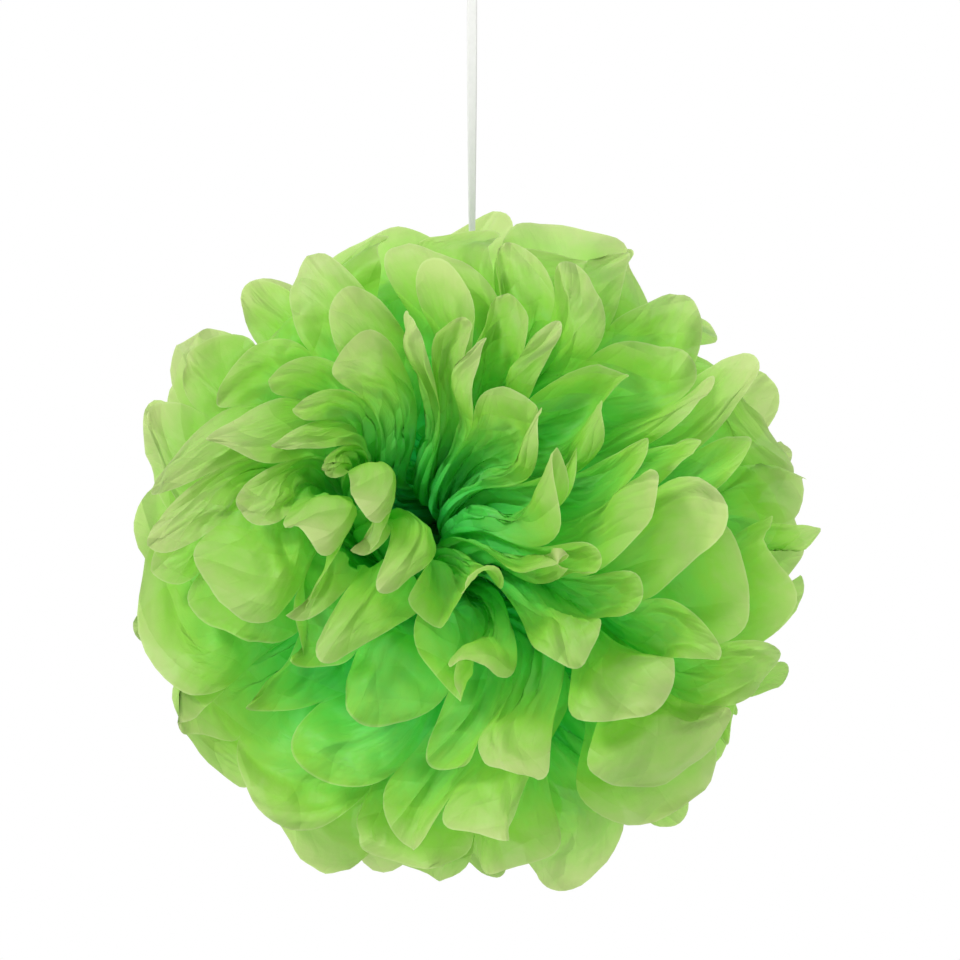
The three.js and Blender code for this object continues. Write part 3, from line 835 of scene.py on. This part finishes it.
def strip(path, across, width=RIBBON_WIDTH, thickness=RIBBON_THICKNESS):
    """Points, faces and flat places of a ribbon along a path, closed at its ends."""
    path, across = np.asarray(path, float), unit(np.asarray(across, float))
    along = unit(np.gradient(path, axis=0))
    out = unit(np.cross(along, across))
    run = np.concatenate([[0], np.cumsum(np.linalg.norm(np.diff(path, axis=0), axis=1))])
    place = np.linspace(-0.5, 0.5, RIBBON_ACROSS + 1)
    ring = np.concatenate([place, place[::-1]])
    half = thickness / 2 * (1 - (2 * ring) ** EDGE_POWER * EDGE_THIN) * np.repeat([1, -1], len(place))
    aside, raised = (ring * width)[None, :, None], half[None, :, None]
    points = path[:, None] + across[:, None] * aside + out[:, None] * raised
    flat = np.stack(np.broadcast_arrays(ring[None] * width, run[:, None]), -1)
    n, m = len(path), len(ring)
    row, spot = np.meshgrid(np.arange(n - 1), np.arange(m), indexing="ij")
    this, after = row * m + spot, row * m + (spot + 1) % m
    faces = np.stack([this, after, after + m, this + m], -1).reshape(-1, 4)
    spot = np.arange(RIBBON_ACROSS)
    cap = np.stack([spot, m - 1 - spot, m - 2 - spot, spot + 1], -1)
    return points.reshape(-1, 3), np.concatenate([faces, cap, cap[:, ::-1] + (n - 1) * m]), flat.reshape(-1, 2)


def mesh_of(name, strips, material):
    points, faces, flats, start = [], [], [], 0
    for place, face, flat in strips:
        points.append(place)
        faces.append(face + start)
        flats.append(flat)
        start += len(place)
    mesh = flat_mesh(name, np.concatenate(points), np.concatenate(faces), np.concatenate(flats))
    mesh.materials.append(material)
    return mesh


print("a ribbon has", 2 * RIBBON_ACROSS + 2, "points around it")

# %% [markdown]
# ## White satin
#
# The ribbon is woven: fine weft threads run across it, and a little light comes through. The threads are a wave
# along the ribbon's own length. They are too fine to model, so a bump and a change of gloss stand for them.

# %% Satin
SATIN_TONES = ((0.86, 0.86, 0.845, 1), (0.92, 0.92, 0.905, 1))
SATIN_THROUGH = 0.3
SATIN_FIBRES = {"Cloud Scale": 200.0, "Fibre Scale": 4000.0}
WEFT = {"Scale": 700.0, "Distortion": 0.4}
FIBRE_IN_WEFT = 0.5  # how much the fibres stand out beside the weft
SATIN_ROUGH = {"To Min": 0.38, "To Max": 0.5}
SATIN_GLOSS = 0.4
SATIN_BUMP = {"Strength": 0.3, "Distance": 0.0001}


def satin_material():
    material = new_material("white_satin")
    tree = material.node_tree
    flat = add_node(tree, "ShaderNodeUVMap", uv_map="flat_paper").outputs["UV"]
    fibres = place_group(tree, FIBRES, flat, SATIN_FIBRES)
    weft = add_node(tree, "ShaderNodeTexWave", {"Vector": flat} | WEFT, bands_direction="Y").outputs["Fac"]
    height = math_node(tree, "MULTIPLY_ADD", fibres["Fibre"], FIBRE_IN_WEFT, weft)
    bump = add_node(tree, "ShaderNodeBump", {"Height": height} | SATIN_BUMP).outputs[0]
    tone = mix_colours(tree, fibres["Cloud"], *SATIN_TONES)
    rough = add_node(tree, "ShaderNodeMapRange", {"Value": weft} | SATIN_ROUGH).outputs[0]
    satin = {"Base Color": tone, "Roughness": rough, "Specular IOR Level": SATIN_GLOSS, "Normal": bump}
    satin = add_node(tree, "ShaderNodeBsdfPrincipled", satin).outputs[0]
    through = add_node(tree, "ShaderNodeBsdfTranslucent", {"Color": tone, "Normal": bump}).outputs[0]
    add_node(tree, "ShaderNodeOutputMaterial", {"Surface": mix_shaders(tree, SATIN_THROUGH, satin, through)})
    return material


SATIN = satin_material()
print("material:", SATIN.name)

# %% [markdown]
# ## The hanging ribbon and its loop
#
# The ribbon is pulled straight by the ball, and turns slowly about its own length between the loop and the tie.
# Its loop is a drop shape over a knot.

# %% Long ribbon
RIBBON_STEPS = 96
down = np.linspace(0, 1, RIBBON_STEPS + 1)
ribbon_path = np.stack([0 * down, 0 * down, RIBBON_TOP + (RIBBON_FOOT - RIBBON_TOP) * down], -1)
ribbon_across = np.stack([np.cos(down * RIBBON_TURN), np.sin(down * RIBBON_TURN), 0 * down], -1)
ribbon = add_piece("ribbon", mesh_of("ribbon", [strip(ribbon_path, ribbon_across)], SATIN))
print("ribbon:", len(ribbon.data.polygons), "faces")

# %% Knot and loop
KNOT_STEPS = 73
KNOT_STRIP = 2.6  # a ribbon is crumpled to this width where it is knotted
KNOT_INSET = 1.2  # keeps the strip inside the knot's size
KNOT_WEAVE = 1.5  # how far the strip goes over and under itself
LOOP_STEPS = 73
LOOP_OPEN = 0.06  # turn at each end of the loop that the knot hides
LOOP_ROUND = 1.3  # brings the drop to its full width
SIDEWAYS = [1.0, 0.0, 0.0]


def knot(middle, size):
    """A small tied knot: a strip along a three-lobed knot, its face outwards."""
    turn = np.linspace(0, 2 * math.pi, KNOT_STEPS)
    across, up = np.sin(turn) + 2 * np.sin(2 * turn), np.cos(turn) - 2 * np.cos(2 * turn)
    path = np.stack([across, -np.sin(3 * turn) * KNOT_WEAVE, up], -1) / 3  # its lobes reach to 1
    path = path * (np.asarray(size) - KNOT_INSET) / 2
    along = np.gradient(path, axis=0)
    return strip(path + np.asarray(middle), np.cross(along, path), width=KNOT_STRIP)


def drop_loop():
    turn = np.linspace(LOOP_OPEN, 2 * math.pi - LOOP_OPEN, LOOP_STEPS)
    wide = LOOP_ROUND * np.sin(turn) * np.sin(turn / 2) * LOOP_WIDTH / 2
    path = np.stack([0 * turn, wide, LOOP_HEIGHT * (-1 - np.cos(turn)) / 2], -1)
    return strip(path, np.broadcast_to(SIDEWAYS, path.shape))


loop_knot = knot((0, 0, -LOOP_HEIGHT - KNOT_HEIGHT / 2), (KNOT_DEPTH, KNOT_DEPTH, KNOT_HEIGHT))
loop = add_piece("ribbon_loop", mesh_of("ribbon_loop", [drop_loop(), loop_knot], SATIN))
print("loop and knot:", len(loop.data.polygons), "faces")

# %% [markdown]
# ## The tie
#
# A length of the same ribbon is wound round the folded stack and knotted on top, where the hanging ribbon
# starts. Only its place shows between the petals. It is one strip on a square spiral with rounded corners,
# because the stack it goes round is flat on four sides.

# %% Tie
TIE_TURNS = 2.25
TIE_LAY = 0.55  # from one turn to the next
TIE_STEPS = 120
TIE_SQUARE = 4  # 2 would be round
TIE_DRIFT = 0.5  # sideways, over all turns


def tie_turns():
    turn = np.linspace(0, 2 * math.pi * TIE_TURNS, TIE_STEPS)
    grown = RIBBON_THICKNESS / 2 + FIT_GAP + TIE_LAY * turn / (2 * math.pi)
    round_off = (np.abs(np.cos(turn)) ** TIE_SQUARE + np.abs(np.sin(turn)) ** TIE_SQUARE) ** (-1 / TIE_SQUARE)
    depth = (SHEETS * LAYER_PITCH / 2 + grown) * np.cos(turn) * round_off
    span = (NECK_SPAN / 2 + grown) * np.sin(turn) * round_off
    tilt = math.pi / 2 - FACE_TILT
    back = span * math.cos(tilt) - depth * math.sin(tilt)
    up = span * math.sin(tilt) + depth * math.cos(tilt) - HANG_DROP
    path = np.stack([TIE_DRIFT * np.sin(turn / TIE_TURNS), back, up], -1)
    return strip(path, np.broadcast_to(SIDEWAYS, path.shape))


tie_knot = knot((0, 0, RIBBON_FOOT - TIE_KNOT_HEIGHT / 2), (RIBBON_WIDTH, KNOT_DEPTH, TIE_KNOT_HEIGHT))
tie = add_piece("ribbon_tie", mesh_of("ribbon_tie", [tie_turns(), tie_knot], SATIN))
print("tie and knot:", len(tie.data.polygons), "faces")

for piece, node in ((ribbon, "hanging_ribbon"), (loop, "hanging_loop"), (tie, "centre_tie")):
    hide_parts(node)
    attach(piece, "root")
print("ribbon", round(RIBBON_TOP - RIBBON_FOOT), "mm")

# %% [markdown]
# ## Light and floor
#
# The ball hangs in plain, soft studio light over a pale floor. The background is white to the camera only, so
# it doesn't add light to the paper. The key lamp is small beside the fill, so that petals cast shadows on each
# other, and a wide lamp behind the ball shines through its edge. The lamps stand far off, because each lights
# only what is in front of it, and the floor would show where that ends.

# %% World
WHITE = (1, 1, 1, 1)
WORLD_LIGHT = 0.63


def white_world():
    world = bpy.data.worlds.new("studio")
    world.use_nodes = True
    tree = world.node_tree
    tree.nodes.clear()
    seen = tree.nodes.new("ShaderNodeLightPath").outputs
    clear = math_node(tree, "MAXIMUM", seen["Is Camera Ray"], seen["Is Transmission Ray"])
    clear = math_node(tree, "MAXIMUM", clear, seen["Is Glossy Ray"])
    light, white = [
        add_node(tree, "ShaderNodeBackground", {"Color": WHITE, "Strength": strength}).outputs[0]
        for strength in (WORLD_LIGHT, 1.0)
    ]
    add_node(tree, "ShaderNodeOutputWorld", {"Surface": mix_shaders(tree, clear, light, white)})
    SCENE.world = world


white_world()
SCENE.view_settings.view_transform = "Standard"
print("world light", WORLD_LIGHT)

# %% Floor and lamps
FLOOR_LEVEL = -0.92
FLOOR_HALF = 2.9
FLOOR_PAINT = {"Base Color": (0.86, 0.86, 0.86, 1), "Roughness": 0.9}
LAMPS = [
    # name, place, size and watts; each looks at the ball
    ("key", (-2.4, -3.2, 1.97), 1.0, 108.0),
    ("fill", (3.2, -3.2, -0.23), 3.2, 28.0),
    ("top", (0.2, 0.3, 1.5), 1.0, 7.0),
    ("back", (0.6, 3.8, 0.97), 4.0, 48.0),
]


def add_floor():
    corners = [(x * FLOOR_HALF, y * FLOOR_HALF, FLOOR_LEVEL) for x, y in ((-1, -1), (1, -1), (1, 1), (-1, 1))]
    mesh = bpy.data.meshes.new("floor")
    mesh.from_pydata(corners, [], [(0, 1, 2, 3)])
    material = bpy.data.materials.new("pale_floor")
    material.use_nodes = True
    paint = material.node_tree.nodes["Principled BSDF"]
    for name, value in FLOOR_PAINT.items():
        paint.inputs[name].default_value = value
    mesh.materials.append(material)
    floor = add_piece("floor", mesh)


def add_lamp(name, place, size, watts):
    data = bpy.data.lights.new(name, "AREA")
    data.shape = "DISK"
    data.size = size
    data.energy = watts
    lamp = bpy.data.objects.new(name, data)
    lamp.location = place
    aim = np.array([0, 0, -HANG_DROP * MM]) - np.array(place)
    yaw = math.atan2(aim[1], aim[0]) - math.pi / 2
    lamp.rotation_euler = (math.atan2(aim[2], math.hypot(aim[0], aim[1])) + math.pi / 2, 0, yaw)
    SCENE.collection.objects.link(lamp)


add_floor()
for lamp in LAMPS:
    add_lamp(*lamp)
print(len(LAMPS), "lamps")
